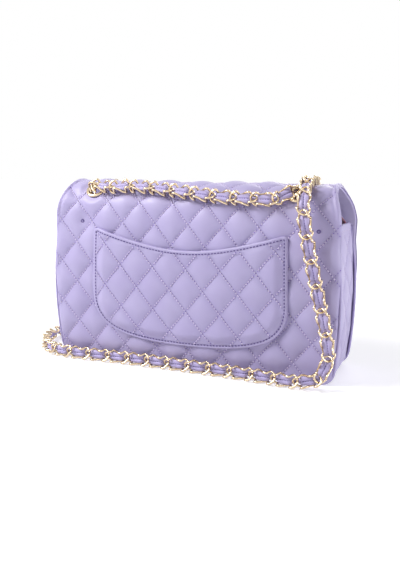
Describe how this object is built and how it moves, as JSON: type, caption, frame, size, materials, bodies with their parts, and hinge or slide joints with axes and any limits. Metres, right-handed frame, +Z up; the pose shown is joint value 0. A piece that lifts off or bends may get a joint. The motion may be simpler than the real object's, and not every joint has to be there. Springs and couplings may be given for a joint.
{
  "type": "chain shoulder bag",
  "caption": "Quilted lilac leather shoulder bag with a slip pocket on its back, an opening flap with a turn lock, and a gold chain strap woven with leather",
  "frame": {"origin": "middle of the underside of the base, where the bag stands", "axes": "+Z up, +X along the width to the right of the picture, -Y the back with the slip pocket, +Y the front with the lock"},
  "size_m": [0.3555, 0.1861, 0.2042],
  "materials": {
    "leather": "soft quilted",
    "flap_lining": "smooth",
    "lace": "smooth",
    "lining": "matt",
    "board": "matt",
    "gold": "polished pale gold",
    "chain": "polished pale gold"
  },
  "bodies": {
    "body": {"back_panel": "leather", "rear_pocket": "leather", "front_panel": "leather", "left_gusset": "leather", "right_gusset": "leather", "base_panel": "leather", "base_board": "board", "lining": "lining", "flap_top": "leather", "flap_top_lining": "flap_lining", "inner_flap_top": "flap_lining", "back_welt": "leather", "front_welt": "leather", "back_tacks": "leather", "rear_left_eyelet": "gold", "rear_right_eyelet": "gold", "front_left_eyelet": "gold", "front_right_eyelet": "gold", "eyelet_washers": "gold", "lock_base_plate": "gold", "lock_backing": "gold", "snap_stud": "gold", "rear_run_links": "chain", "rear_run_lace": "lace", "inner_links": "chain", "inner_laces": "lace", "strap_top_links": "chain", "strap_floor_links": "chain", "strap_front_links": "chain", "strap_lace": "lace"},
    "flap": {"flap_front": "leather", "lock_flap_plate": "gold"},
    "inner_flap": {"inner_flap_front": "flap_lining", "snap_cap": "gold", "snap_socket": "gold"},
    "knob": {"lock_knob": "gold"}
  },
  "joints": [
    {"name": "flap_hinge", "type": "hinge", "parent": "body", "child": "flap", "pos_m": [0, 0.0506, 0.15185], "axis": [1, 0, 0], "range_deg": [0, 120]},
    {"name": "inner_flap_hinge", "type": "hinge", "parent": "body", "child": "inner_flap", "pos_m": [0, 0.0458, 0.14685], "axis": [1, 0, 0], "range_deg": [0, 72]},
    {"name": "lock_turn", "type": "hinge", "parent": "body", "child": "knob", "pos_m": [0, 0.0528, 0.082], "axis": [0, 1, 0], "range_deg": [0, 90]}
  ],
  "couplings": [
    {"joint": "inner_flap_hinge", "follows": "flap_hinge", "ratio": 0.6}
  ]
}
